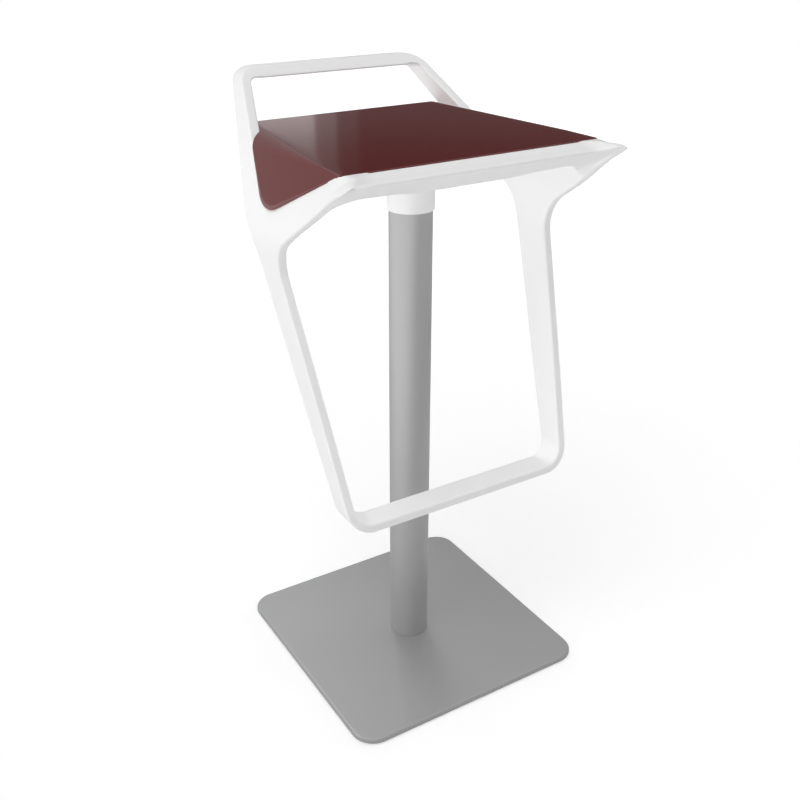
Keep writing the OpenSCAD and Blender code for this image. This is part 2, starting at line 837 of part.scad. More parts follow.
// Side view of what lies above the V, where the flaps show
module above_vee(gap) {
    steps = 8;
    f = vee_front[1] - vee_front[0];
    r = vee_rear[1] - vee_rear[0];
    a0 = atan2(f[1], f[0]) + 90;
    a1 = atan2(r[1], r[0]) + 270;
    over = 90;
    polygon(concat(
        [
            for (i = [0:steps])
                let (a = a0 + (a1 - a0) * i / steps)
                vee_c + (vee_r - gap) * [cos(a), sin(a)]
        ],
        [vee_rear[1] + [-gap, gap], vee_front[1] + [gap, over], vee_front[1] + [gap, gap]]
    ));
}
module pan_region() {
    pan_arm_y = 96;
    skirt = 2;
    translate([-fold_x, 0, 0])
        rotate([90, 0, 90])
            linear_extrude(2 * fold_x)
                above_vee(seam);
    intersection() {
        between_sides(arm_t + seam);
        translate([-fold_x, pan_arm_y, deck_top - skirt])
            cube([2 * fold_x, pan_rear, 2 * pan_rear]);
    }
}
module seat_pan() {
    bore_end = 0.3;
    color(red)
        difference() {
            union() {
                intersection() {
                    skin([for (y = pan_stations) pan_ring(y)]);
                    pan_region();
                }
                at_pan_screws()
                    translate([0, 0, deck_top])
                        cylinder(r = pan_boss_r, h = pan_boss_h + 1, $fn = 24);
            }
            at_pan_screws()
                translate([0, 0, deck_top - 1])
                    cylinder(r = pan_screw_r + fit, h = pan_screw_top - deck_top + 1 + bore_end, $fn = 24);
        }
}
module pan_screws() {
    color(steel)
        at_pan_screws() {
            translate([0, 0, deck_z - pan_screw_head_h])
                cylinder(r = pan_screw_head_r, h = pan_screw_head_h, $fn = 24);
            translate([0, 0, deck_z - eps])
                cylinder(r = pan_screw_r, h = pan_screw_top - deck_z, $fn = 24);
        }
}

base_plate();
base_cover();
base_pad();
foot_screws();
foot_plug();
column_tube();
upper_bush();
lower_bush();
bearing_lower_race();
bearing_balls();
bearing_cage();
bearing_upper_race();
spindle();
stop_washer();
circlip();
mount_plate();
mount_screws();
mount_washers();
hub_collar();
seat_frame();
frame_inserts();
seat_pan();
pan_screws();
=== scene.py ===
# Looks of the swivel bar stool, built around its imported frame.
# The stool's sizes are in millimetres, and become metres where a mesh is made.
import math

import bpy
import numpy as np
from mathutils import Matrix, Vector


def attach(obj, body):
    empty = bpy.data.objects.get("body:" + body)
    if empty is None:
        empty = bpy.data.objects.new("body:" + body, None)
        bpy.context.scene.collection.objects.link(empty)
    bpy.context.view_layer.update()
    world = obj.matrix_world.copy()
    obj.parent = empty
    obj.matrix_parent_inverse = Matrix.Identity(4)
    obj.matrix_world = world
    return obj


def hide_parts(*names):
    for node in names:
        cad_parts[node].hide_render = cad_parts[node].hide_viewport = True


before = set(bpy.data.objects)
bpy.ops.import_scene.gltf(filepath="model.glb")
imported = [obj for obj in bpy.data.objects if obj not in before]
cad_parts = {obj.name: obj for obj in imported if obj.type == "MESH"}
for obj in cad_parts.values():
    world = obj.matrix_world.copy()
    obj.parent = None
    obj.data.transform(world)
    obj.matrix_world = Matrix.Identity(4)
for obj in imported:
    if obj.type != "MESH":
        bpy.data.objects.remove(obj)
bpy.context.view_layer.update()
mm = 0.001
print("frame loaded:", len(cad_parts), "nodes")


# Shader maths as plain expressions
class Value:
    def __init__(self, tree, socket):
        self.tree = tree
        self.socket = socket

    def maths(self, operation, a, b):
        return self.tree.node("ShaderNodeMath", {"operation": operation}, {0: a, 1: b})

    def __add__(self, other):
        return self.maths("ADD", self, other)

    def __radd__(self, other):
        return self.maths("ADD", other, self)

    def __sub__(self, other):
        return self.maths("SUBTRACT", self, other)

    def __rsub__(self, other):
        return self.maths("SUBTRACT", other, self)

    def __mul__(self, other):
        return self.maths("MULTIPLY", self, other)

    def __rmul__(self, other):
        return self.maths("MULTIPLY", other, self)

    def smooth(self, low, high):
        settings = {"interpolation_type": "SMOOTHSTEP"}
        return self.tree.node("ShaderNodeMapRange", settings, {0: self, 1: low, 2: high})


class ShaderTree:
    def __init__(self, owner):
        owner.use_nodes = True
        self.tree = owner.node_tree
        self.tree.nodes.clear()

    # One node: its type, its settings, its sockets' values or links, and the output to use
    def node(self, kind, settings=None, inputs=None, output=0):
        made = self.tree.nodes.new(kind)
        for name, value in (settings or {}).items():
            setattr(made, name, value)
        for name, value in (inputs or {}).items():
            for part in value if isinstance(value, list) else [value]:
                if isinstance(part, Value):
                    self.tree.links.new(part.socket, made.inputs[name])
                else:
                    made.inputs[name].default_value = part
        return Value(self, made.outputs[output]) if len(made.outputs) else None

    def place(self, scale=(1, 1, 1), turn=(0, 0, 0)):
        spot = self.node("ShaderNodeTexCoord", output="Object")
        inputs = {"Vector": spot, "Rotation": turn, "Scale": scale}
        return self.node("ShaderNodeMapping", {}, inputs)

    def noise(self, place, scale, detail=2.0):
        return self.node("ShaderNodeTexNoise", {}, {"Vector": place, "Scale": scale, "Detail": detail})

    def mix(self, share, a, b):
        return self.node("ShaderNodeMix", {"data_type": "RGBA"}, {0: share, 6: a, 7: b}, output=2)

    def bump(self, height, distance, strength=1.0):
        inputs = {"Height": height, "Distance": distance, "Strength": strength}
        return self.node("ShaderNodeBump", {}, inputs)

    def surface(self, inputs):
        shader = self.node("ShaderNodeBsdfPrincipled", {}, inputs)
        self.node("ShaderNodeOutputMaterial", {}, {"Surface": shader})


# Geometry Nodes with named inputs: each name with its kind of socket and its value
class GeometryTree(ShaderTree):
    def __init__(self, name, inputs):
        self.tree = bpy.data.node_groups.new(name, "GeometryNodeTree")
        self.values = {}
        sockets = self.tree.interface
        sockets.new_socket("Geometry", in_out="OUTPUT", socket_type="NodeSocketGeometry")
        sockets.new_socket("Geometry", in_out="INPUT", socket_type="NodeSocketGeometry")
        for label, (kind, value) in inputs.items():
            socket = sockets.new_socket(label, in_out="INPUT", socket_type="NodeSocket" + kind)
            self.values[socket.identifier] = value
        self.given = self.tree.nodes.new("NodeGroupInput")

    def input(self, name):
        return Value(self, self.given.outputs[name])

    def attribute(self, name, kind):
        settings = {"data_type": kind}
        return self.node("GeometryNodeInputNamedAttribute", settings, {"Name": name}, output="Attribute")

    # Plain mesh of the object, after the tree has worked on it
    def applyTo(self, piece):
        modifier = piece.modifiers.new("tree", "NODES")
        modifier.node_group = self.tree
        for identifier, value in self.values.items():
            modifier[identifier] = value
        graph = bpy.context.evaluated_depsgraph_get()
        mesh = bpy.data.meshes.new_from_object(piece.evaluated_get(graph), depsgraph=graph)
        piece.modifiers.remove(modifier)
        piece.data = mesh


def newMaterial(name):
    material = bpy.data.materials.new(name)
    return material, ShaderTree(material)


def whitePlastic():
    look = {
        "colour": (0.90, 0.90, 0.90, 1), "shade": (0.885, 0.885, 0.887, 1), "cloudScale": 9,
        "roughness": 0.30, "roughnessSwing": 0.06, "grain": 900, "grainDepth": 0.000012,
    }
    material, tree = newMaterial("whitePlastic")
    place = tree.place()
    cloud = tree.noise(place, look["cloudScale"], 3)
    grain = tree.noise(place, look["grain"])
    tree.surface({
        "Base Color": tree.mix(cloud, look["shade"], look["colour"]),
        "Roughness": look["roughness"] + look["roughnessSwing"] * (cloud - 0.5),
        "Normal": tree.bump(grain, look["grainDepth"]),
        "Specular IOR Level": 0.4,
    })
    return material


def redPlastic():
    look = {
        "colour": (0.140, 0.0265, 0.0265, 1), "deep": (0.128, 0.0245, 0.0245, 1), "cloudScale": 14,
        "roughness": 0.09, "roughnessSwing": 0.02, "peel": 120, "peelDepth": 0.000003,
    }
    material, tree = newMaterial("redPlastic")
    place = tree.place()
    cloud = tree.noise(place, look["cloudScale"], 3)
    peel = tree.noise(place, look["peel"])
    tree.surface({
        "Base Color": tree.mix(cloud, look["deep"], look["colour"]),
        "Roughness": look["roughness"] + look["roughnessSwing"] * (cloud - 0.5),
        "Normal": tree.bump(peel, look["peelDepth"]),
        "Specular IOR Level": 0.45,
    })
    return material


# Satin steel, brushed along the axis whose scale is small
def satinSteel(name, brush, colour, roughness, anisotropy):
    look = {
        "shade": 0.93, "cloudScale": 7, "roughnessSwing": 0.08, "brushDepth": 0.000008, "metal": 0.6,
    }
    material, tree = newMaterial(name)
    lines = tree.noise(tree.place(brush), 1, 3)
    cloud = tree.noise(tree.place(), look["cloudScale"], 3)
    deep = tuple(look["shade"] * c for c in colour[:3]) + (1,)
    tree.surface({
        "Base Color": tree.mix(0.6 * lines + 0.4 * cloud, deep, colour),
        "Metallic": look["metal"],
        "Roughness": roughness + look["roughnessSwing"] * (lines - 0.5),
        "Normal": tree.bump(lines, look["brushDepth"]),
        "Anisotropic": anisotropy,
    })
    return material


# Turned, rolled or plated metal, a little darker in places
def plainMetal(name, colour, roughness, wear):
    look = {
        "cloudScale": 60, "roughnessSwing": 0.12, "scuff": 220, "scuffDrawn": (1, 1, 12),
        "scuffDepth": 0.00001,
    }
    material, tree = newMaterial(name)
    cloud = tree.noise(tree.place(), look["cloudScale"], 4)
    scuff = tree.noise(tree.place(look["scuffDrawn"]), look["scuff"])
    deep = tuple(wear * c for c in colour[:3]) + (1,)
    tree.surface({
        "Base Color": tree.mix(cloud, deep, colour),
        "Metallic": 1.0,
        "Roughness": roughness + look["roughnessSwing"] * (cloud - 0.5),
        "Normal": tree.bump(scuff, look["scuffDepth"]),
    })
    return material


def blackPolymer():
    look = {
        "colour": (0.022, 0.022, 0.022, 1), "deep": (0.012, 0.012, 0.012, 1), "cloudScale": 40,
        "roughness": 0.5, "roughnessSwing": 0.1, "grain": 700, "grainDepth": 0.00002,
    }
    material, tree = newMaterial("blackPolymer")
    place = tree.place()
    cloud = tree.noise(place, look["cloudScale"], 3)
    grain = tree.noise(place, look["grain"])
    tree.surface({
        "Base Color": tree.mix(cloud, look["deep"], look["colour"]),
        "Roughness": look["roughness"] + look["roughnessSwing"] * (cloud - 0.5),
        "Normal": tree.bump(grain, look["grainDepth"]),
    })
    return material


materials = {
    "white": whitePlastic(),
    "red": redPlastic(),
    "column": satinSteel("columnSteel", (9, 9, 2600), (0.52, 0.52, 0.522, 1), 0.42, 0.4),
    "base": satinSteel("baseSteel", (14, 2200, 14), (0.45, 0.45, 0.452, 1), 0.40, 0.2),
    "zinc": plainMetal("zincSteel", (0.62, 0.62, 0.63, 1), 0.32, 0.82),
    "bearing": plainMetal("bearingSteel", (0.66, 0.66, 0.68, 1), 0.12, 0.94),
    "brass": plainMetal("turnedBrass", (0.75, 0.56, 0.26, 1), 0.25, 0.85),
    "black": blackPolymer(),
}
nodeLooks = {
    "zinc": [
        "base_plate", "foot_screws", "foot_plug", "spindle", "stop_washer", "circlip",
        "mount_plate", "mount_screws", "mount_washers", "pan_screws",
    ],
    "bearing": ["bearing_lower_race", "bearing_upper_race", "bearing_balls"],
    "brass": ["frame_inserts"],
    "black": ["base_pad", "upper_bush", "lower_bush", "bearing_cage"],
    "column": ["column_tube"],
    "base": ["base_cover"],
    "white": ["hub_collar", "seat_frame"],
    "red": ["seat_pan"],
}
for look, nodes in nodeLooks.items():
    for node in nodes:
        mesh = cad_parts[node].data
        mesh.materials.clear()
        mesh.materials.append(materials[look])
print("materials made:", len(materials))


# Mesh from points in millimetres, smooth, with normals where they are given
def addPiece(name, points, faces, look, body, replaced=(), normals=None):
    mesh = bpy.data.meshes.new(name)
    mesh.from_pydata((np.asarray(points, float) * mm).tolist(), [], np.asarray(faces).tolist())
    mesh.validate()
    mesh.polygons.foreach_set("use_smooth", [True] * len(mesh.polygons))
    if normals is not None:
        mesh.normals_split_custom_set_from_vertices(normals.tolist())
    mesh.materials.append(materials[look])
    piece = bpy.data.objects.new(name, mesh)
    bpy.context.scene.collection.objects.link(piece)
    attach(piece, body)
    if replaced:
        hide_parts(*replaced)
    print(name, len(mesh.polygons), "faces")
    return piece


# The ribbon frame is a field of distances: its zero level is the moulded surface.
# Lines are in the side view, as (y, z) of two points, with the solid on their right.
ribbon = {
    "legFront": ((-159.9, 306.0), (-28.1, 686.5)),
    "wingLow": ((-28.1, 686.5), (-187.2, 796.2)),
    "bandTop": ((-180.0, 798.0), (-152.0, 807.0)),
    "veeFront": ((-152.0, 808.0), (9.0, 727.7)),
    "veeRear": ((9.0, 727.7), (209.7, 872.4)),
    "armRear": ((249.5, 872.1), (33.4, 681.0)),
    "legRear": ((33.4, 681.0), (-121.1, 306.0)),
    "crotchRadius": 47.0, "rearRadius": 100.0, "veeRadius": 53.0,
    "foldX": 217.1, "foldZ": 709.0, "leanUp": 0.341, "leanDown": 0.112,
    "toeUp": 0.083, "toeDown": 0.036, "foldBlend": 10.0, "foldThick": 12.64, "thickOver": 60.0,
    "armThick": 15.0, "legThick": 13.0, "backDepth": 25.0, "backSteep": 0.55, "edgeBlend": 3.4,
    "footUnder": 326.0, "footRadius": 40.0, "backRadius": 38.0, "farOff": 1000.0,
    "step": 2.6, "reach": 221.0, "low": (-192.0, 318.0), "high": (262.0, 886.0),
}
# The two front tips, where a wing meets the front rail. In a pair such as widenZ, a change starts
# at the first length and runs over the second.
tips = {
    "from": 150.0, "over": 50.0, "lift": 11.0, "drop": 3.0,
    "widen": 6.0, "widenZ": (760.0, 45.0), "widenY": (100.0, 80.0), "rise": 3.8, "riseY": (90.0, 95.0),
    "shoulder": (5.0, 24.0), "flushSlope": 0.5, "flushBlend": 12.0, "flushReach": 60.0,
    "nose": ((207.0, -187.0), (0.8, -0.6)), "noseBlend": 9.0,
    "joint": 1.5, "jointGrowth": 5.0, "jointY": (140.0, 30.0), "guardZ": 700.0,
}
rail = {
    "ridge": (-180.0, 798.0), "front": -152.0, "floor": 796.0, "dip": (61.0, -35.0), "thick": 9.0,
    "middle": 70.0, "waist": 58.0, "bellyHalf": 62.0, "waistFrom": 112.0, "wingFrom": 184.0,
    "footRadius": 46.0, "footBlend": 5.0, "wingBlend": 9.0, "wingBlendOver": 60.0,
    "wingFillet": 40.0, "leastFillet": 2.0, "filletShare": 0.85, "filletGrowth": 1.3, "growth": (20.0, 50.0),
    "fadeFrom": 50.0, "fadeTo": 132.0, "fadeShare": 0.97, "fadeSink": 2.5, "wingDrift": 24.0,
    "wallShare": 0.98, "ridgeBlend": 6.0, "rimBlend": 1.0,
}
# The seat's outer line: level, then a crease and the flap; the opening's front corners are round
shell = {
    "top": 807.0, "thick": 4.0, "front": -151.7, "rear": 176.0, "crease": 186.5, "toe": 0.0476,
    "toeFrom": -152.0, "lean": 22.3, "growth": 0.15, "growFrom": -115.0, "leastRadius": 3.5,
    "edge": 1.2, "seam": 0.45, "cornerSeam": 0.05, "armLevel": 797.0, "armFrom": 60.0, "armBlend": 5.0,
    "cornerRadius": 17.0, "cornerCosine": 0.479, "cornerEnd": -100.0, "creaseBlend": 8.0,
    "innerRadius": 0.8, "rowGap": 0.5,
    "rows": 132, "rowGrowth": 1.25, "flatSteps": 14, "arcSteps": 14, "flapSteps": 12,
    "search": (100, 330, 2301),
}
flapLean = math.radians(shell["lean"])


# Distance past a line of the side view, above zero on its left
def beyond(y, z, line):
    (ay, az), (by, bz) = line
    dy, dz = by - ay, bz - az
    return ((z - az) * dy - (y - ay) * dz) / math.hypot(dy, dz)


# Unit vector to the left of a line
def leftOf(line):
    (ay, az), (by, bz) = line
    length = math.hypot(by - ay, bz - az)
    return np.array([-(bz - az), by - ay]) / length


# Larger of two distances, with the corner between them rounded over that width
def blendMax(a, b, width):
    step = np.maximum(width - np.abs(a - b), 0)
    return np.maximum(a, b) + step * step / (4 * width)


def blendMin(a, b, width):
    return -blendMax(-a, -b, width)


def smoothStep(share):
    share = np.clip(share, 0, 1)
    return share * share * (3 - 2 * share)


# Share of a change at a value; the span is its start and its length
def ramp(value, span):
    start, over = span
    return smoothStep((value - start) / over)


# Union of two solids with a hollow fillet of that radius between them
def filletMin(a, b, radius):
    corner = np.hypot(np.maximum(radius - a, 0), np.maximum(radius - b, 0))
    return np.maximum(radius, np.minimum(a, b)) - corner


# Two lines that meet in a hollow corner, with a fillet whose centre lies outside the solid
def hollowCorner(y, z, first, second, radius):
    n1, n2 = leftOf(first), leftOf(second)
    cy, cz = np.array(first[1]) + (n1 + n2) * radius / (1 + n1 @ n2)
    py, pz = y - cy, z - cz
    cross = n1[0] * n2[1] - n1[1] * n2[0]
    alpha = -(py * n2[1] - pz * n2[0]) / cross
    beta = -(pz * n1[0] - py * n1[1]) / cross
    arc = radius - np.hypot(py, pz)
    plain = np.minimum(beyond(y, z, first), beyond(y, z, second))
    return np.where((alpha > 0) & (beta > 0), arc, plain)


# Two faces that meet in an outer corner of that radius; cosine is that of their normals
def outerCorner(a, b, radius, cosine):
    u, v = a + radius, b + radius
    sine2 = 1 - cosine * cosine
    between = (u > v * cosine) & (v > u * cosine)
    arc = np.sqrt(np.maximum(u * u + v * v - 2 * u * v * cosine, 0) / sine2) - radius
    return np.where(between, arc, np.maximum(a, b))


# How far from the middle the frame's outer face lies
def sideX(y, z):
    upper = ribbon["foldX"] - ribbon["toeUp"] * y - ribbon["leanUp"] * (z - ribbon["foldZ"])
    lower = ribbon["foldX"] - ribbon["toeDown"] * y + ribbon["leanDown"] * (z - ribbon["foldZ"])
    step = np.maximum(ribbon["foldBlend"] - np.abs(upper - lower), 0)
    tip = tips["widen"] * ramp(z, tips["widenZ"]) * ramp(-y, tips["widenY"])
    return np.minimum(upper, lower) - step * step / (4 * ribbon["foldBlend"]) + tip


# Legs and footrest: distance from their outer face, and the height that sets their edges
def legOuter(x, y, z):
    slope = math.atan(ribbon["leanDown"])
    a = (x - sideX(y, z)) * math.cos(slope)
    b = ribbon["footUnder"] - z
    radius = ribbon["footRadius"]
    cosine = math.sin(slope)
    outer = outerCorner(a, b, radius, cosine)
    u, v = a + radius, b + radius
    down = (v - u * cosine) / (1 - cosine * cosine)
    spread = np.maximum(u * u + v * v - 2 * u * v * cosine, 0)
    reach = np.maximum(np.sqrt(spread / (1 - cosine ** 2)), 1)
    turning = np.clip(down / reach, 0, 1)
    fall = np.where(v <= u * cosine, 0, np.where(u <= v * cosine, 1, turning))
    middle = z + (outer + ribbon["legThick"] / 2) * fall
    return outer, np.where(z < ribbon["footUnder"] + 3 * radius, middle, z)


# Arms and backrest: distance from their outer face, their thickness, and the face's steepness
def armOuter(x, y, z):
    first, last = np.array(ribbon["veeRear"][1]), np.array(ribbon["armRear"][0])
    d1 = first - np.array(ribbon["veeRear"][0])
    d2 = last - np.array(ribbon["armRear"][1])
    d1, d2 = d1 / np.linalg.norm(d1), d2 / np.linalg.norm(d2)
    share = np.full(np.shape(y), 0.5)
    past = np.zeros(np.shape(y))
    for _ in range(4):
        dy, dz = d1[0] + (d2[0] - d1[0]) * share, d1[1] + (d2[1] - d1[1]) * share
        ty, tz = first[0] + (last[0] - first[0]) * share, first[1] + (last[1] - first[1]) * share
        past = ((y - ty) * dy + (z - tz) * dz) / (dy * dy + dz * dz)
        ay, az = first[0] + d1[0] * past, first[1] + d1[1] * past
        by, bz = last[0] + d2[0] * past, last[1] + d2[1] * past
        wide = np.maximum((by - ay) ** 2 + (bz - az) ** 2, 1)
        share = np.clip(((y - ay) * (by - ay) + (z - az) * (bz - az)) / wide, -0.3, 1.3)
    tilt = math.atan(ribbon["toeUp"] * d1[0] + ribbon["leanUp"] * d1[1])
    radius = ribbon["backRadius"]
    cosine = math.sin(tilt)
    a = (x - sideX(y, z)) * math.cos(tilt)
    outer = outerCorner(a, past, radius, cosine)
    u, v = a + radius, past + radius
    turn = np.arctan2(v, (u - v * cosine) / math.cos(tilt))
    turn = np.where((u < 0) & (v < 0), tilt, turn)
    grow = smoothStep((turn - tilt) / (math.pi / 2 - tilt))
    thick = ribbon["armThick"] + (ribbon["backDepth"] - ribbon["armThick"]) * grow
    return outer, thick, 1 + ribbon["backSteep"] * grow


# Distance past the lower band's foot: level in the middle, then it turns down into the wing's face
def bandFoot(x, down, fade):
    blend = np.clip((x - rail["bellyHalf"]) / (rail["waistFrom"] - rail["bellyHalf"]), 0, 1)
    width = rail["waist"] + (rail["middle"] - rail["waist"]) * (1 + np.cos(math.pi * blend)) / 2
    wing = np.maximum(rail["wingFrom"] + rail["wingDrift"] * fade - x, down - rail["fadeTo"])
    return filletMin(down - width, wing, rail["footRadius"])


# Where the seat's top bends down into its flap
def creaseX(y):
    return shell["crease"] - shell["toe"] * (y - shell["toeFrom"])


# Distance into the seat's opening near its front corner, measured along the seat's own surface
def frontCorner(x, y, z):
    (ay, az), (by, bz) = ribbon["veeFront"]
    crease = creaseX(y)
    drop = (shell["top"] - z) / math.cos(flapLean)
    blend = shell["creaseBlend"]
    side = np.clip((x - crease + blend) / blend, 0, 1)
    length = np.where(x < crease, x, crease) + side * drop
    fall = shell["top"] - az + (y - ay) * (az - bz) / (by - ay)
    border = crease + fall / math.cos(flapLean)
    cosine = shell["cornerCosine"]
    past = (length - border) * math.sqrt(1 - cosine * cosine)
    return -outerCorner(past, shell["front"] - y, shell["cornerRadius"], cosine)


# Distance outside the plane of the flap
def pastFlap(x, y, z):
    return (x - creaseX(y) - (shell["top"] - z) * math.tan(flapLean)) * math.cos(flapLean)


# Outer face of the front half: it follows the flap's slope, then rounds into the top and the nose
def frontOuter(x, y, z, outer, above, opening):
    least, most = tips["shoulder"]
    flush = pastFlap(x, y, z) - tips["flushSlope"] * np.clip(-opening, 0, tips["flushReach"])
    shoulder = blendMax(outer, flush, tips["flushBlend"])
    shoulder = blendMax(shoulder, above, np.clip(least - opening, least, most))
    (noseX, noseY), (acrossX, acrossY) = tips["nose"]
    nose = acrossX * (x - noseX) + acrossY * (y - noseY)
    return blendMax(shoulder, nose, tips["noseBlend"])


# The front rail, and the fillet that runs from it into the wings
def frontRail(x, y, z, thick, above, corner, wing):
    dy, dz = np.array(rail["dip"]) / math.hypot(*rail["dip"])
    down = (y - rail["ridge"][0]) * dy + (z - rail["ridge"][1]) * dz
    under = (y - rail["ridge"][0]) * dz - (z - rail["ridge"][1]) * dy
    under = under - tips["drop"] * ramp(x, (tips["from"], tips["over"]))
    behind = np.maximum(np.minimum(y - rail["front"], corner), rail["floor"] - z)
    inner = np.minimum(-rail["thick"] - under, behind)
    fade = smoothStep((down - rail["fadeFrom"]) / (rail["fadeTo"] - rail["fadeFrom"]))
    foot = bandFoot(x, down, fade)
    inside = (x - sideX(y, z)) * math.cos(math.atan(ribbon["leanUp"]))
    spread = ramp(x, (rail["waistFrom"], rail["wingBlendOver"]))
    footBlend = rail["footBlend"] + rail["wingBlend"] * spread
    band = blendMax(blendMax(under, above, rail["ridgeBlend"]), foot, footBlend)
    band = blendMax(band, inner, rail["rimBlend"])
    band = np.maximum(band, inside + ribbon["armThick"] / 2)
    gap = -inside - rail["wallShare"] * thick + rail["fadeSink"] * fade
    width = under - wing
    share = rail["filletShare"] + rail["filletGrowth"] * ramp(down, rail["growth"])
    radius = np.clip(share * width, rail["leastFillet"], rail["wingFillet"])
    r = radius * (1 - rail["fadeShare"] * fade)
    fillet = r - np.hypot(np.maximum(r - under, 0), np.maximum(r - gap, 0))
    wall = np.maximum(-under - rail["thick"] / 2, -gap - ribbon["armThick"] / 2)
    fillet = np.maximum(fillet, wall)
    fillet = blendMax(blendMax(fillet, above, rail["ridgeBlend"]), foot, footBlend)
    fillet = blendMax(fillet, wing, rail["ridgeBlend"])
    return np.minimum(band, fillet)


# Distance from the whole frame: below zero inside it; the frame is the same on its left and right
def frameField(x, y, z):
    x = np.abs(x)
    corner = np.where(y < shell["cornerEnd"], frontCorner(x, y, z), ribbon["farOff"])
    legs, middle = legOuter(x, y, z)
    arms, thick, steep = armOuter(x, y, z)
    low = z < ribbon["foldZ"]
    outer = np.where(low, legs, arms)
    thick = np.where(low, ribbon["legThick"], thick)
    steep = np.where(low, 1, steep)
    thin = np.where(low, ribbon["legThick"], ribbon["foldThick"])
    thick = thin + (thick - thin) * ramp(z, (ribbon["foldZ"], ribbon["thickOver"]))
    nearTip = ramp(x, (tips["from"], tips["over"]))
    above = np.maximum(beyond(y, z, ribbon["bandTop"]) - tips["lift"] * nearTip, z - shell["top"])
    vee = hollowCorner(y, z, ribbon["veeFront"], ribbon["veeRear"], ribbon["veeRadius"])
    opening = np.minimum(vee, corner)
    inward = -(outer + thick)
    outer = np.where(y < 0, frontOuter(x, y, z, outer, above, opening), outer)
    wall = np.maximum(outer, inward) / steep

    # the edges in the side view: front, rear, and the V in which the seat's flap lies
    rise = tips["rise"] * ramp(-y, tips["riseY"])
    front = hollowCorner(y, middle, ribbon["legFront"], ribbon["wingLow"], ribbon["crotchRadius"]) + rise
    front = blendMax(front, np.where(y < 0, above, -ribbon["farOff"]), rail["ridgeBlend"])
    rear = hollowCorner(y, middle, ribbon["armRear"], ribbon["legRear"], ribbon["rearRadius"])
    edge = np.maximum(np.maximum(front, rear), opening)
    side = blendMax(wall, edge, ribbon["edgeBlend"])

    wing = beyond(y, z, ribbon["wingLow"]) + rise
    railSolid = frontRail(x, y, z, thick, above, corner, wing)
    joint = tips["joint"] + tips["jointGrowth"] * nearTip * ramp(-y, tips["jointY"])
    solid = blendMin(side, railSolid, joint)
    return np.where((y < 0) & (z > tips["guardZ"]), np.maximum(solid, outer), solid)


# Mesh of a field's zero level: one point in each cell that it crosses, one face on each crossed edge
def surfaceNet(field, low, high, step):
    counts = [int(math.ceil((h - l) / step)) + 1 for l, h in zip(low, high)]
    axes = [l + step * np.arange(n) for l, n in zip(low, counts)]
    half = np.abs(axes[0])
    known, back = np.unique(np.round(half, 4), return_inverse=True)
    grid = np.meshgrid(known, axes[1], axes[2], indexing="ij", sparse=False)
    values = field(*grid)[back]
    inside = values < 0
    n0, n1, n2 = (n - 1 for n in counts)
    corners = [(i, j, k) for i in (0, 1) for j in (0, 1) for k in (0, 1)]
    count = sum(inside[i:i + n0, j:j + n1, k:k + n2].astype(np.int8) for i, j, k in corners)
    active = (count > 0) & (count < 8)
    index = np.full(active.shape, -1)
    cells = np.argwhere(active)
    index[active] = np.arange(len(cells))
    total = np.zeros((len(cells), 3))
    hits = np.zeros((len(cells), 1))
    for a in corners:
        for axis in range(3):
            if a[axis] == 1:
                continue
            b = list(a)
            b[axis] = 1
            va = values[tuple((cells + a).T)]
            vb = values[tuple((cells + b).T)]
            crossed = (va < 0) != (vb < 0)
            share = np.where(crossed, va / np.where(crossed, va - vb, 1), 0)
            point = cells + np.array(a) + share[:, None] * np.eye(3)[axis]
            total += point * crossed[:, None]
            hits += crossed[:, None]
    points = np.array(low) + step * total / hits
    faces = []
    for axis in range(3):
        p, q = [(1, 2), (2, 0), (0, 1)][axis]
        cut = [slice(None)] * 3
        cut[p] = slice(1, -1)
        cut[q] = slice(1, -1)
        here = inside[tuple(cut)]
        first = [slice(None)] * 3
        first[axis] = slice(0, -1)
        second = [slice(None)] * 3
        second[axis] = slice(1, None)
        change = here[tuple(first)] != here[tuple(second)]
        spots = np.argwhere(change)
        solidFirst = here[tuple(first)][change]
        quad = []
        for op, oq in ((0, 0), (1, 0), (1, 1), (0, 1)):
            offset = np.zeros(3, int)
            offset[p] = op
            offset[q] = oq
            quad.append(index[tuple((spots + offset).T)])
        quad = np.stack(quad, 1)
        quad[~solidFirst] = quad[~solidFirst][:, ::-1]
        faces.append(quad)
    return points, np.concatenate(faces)


# Gradient of a field at some points
def slopeOf(field, points, reach=0.2):
    slope = np.empty_like(points)
    for axis in range(3):
        step = np.zeros(3)
        step[axis] = reach
        ahead, behind = points + step, points - step
        slope[:, axis] = (field(*ahead.T) - field(*behind.T)) / (2 * reach)
    return slope


# Points moved onto the zero level, with the surface's normals
def settle(field, points, rounds=3):
    for _ in range(rounds):
        slope = slopeOf(field, points)
        steep = np.maximum((slope ** 2).sum(1), 0.2)
        points = points - slope * (field(*points.T) / steep)[:, None]
    slope = slopeOf(field, points)
    length = np.maximum(np.linalg.norm(slope, axis=1), 1e-6)
    return points, slope / length[:, None]


def ribbonFrame():
    step = ribbon["step"]
    half = math.ceil(ribbon["reach"] / step) * step
    points, faces = surfaceNet(frameField, (-half, *ribbon["low"]), (half, *ribbon["high"]), step)
    points, normals = settle(frameField, points)
    piece = addPiece(
        "ribbonFrame", points, faces, "white", "seat", ["seat_frame"], normals)
    piece.visible_glossy = False  # the glossy seat mirrors the studio's walls, not the bar behind it


ribbonFrame()


# Seat shell: rings across the seat, each an outer line, a rounded rim and an inner line
def creaseOf(y):
    return creaseX(y), max(shell["leastRadius"], shell["growth"] * (y - shell["growFrom"]))


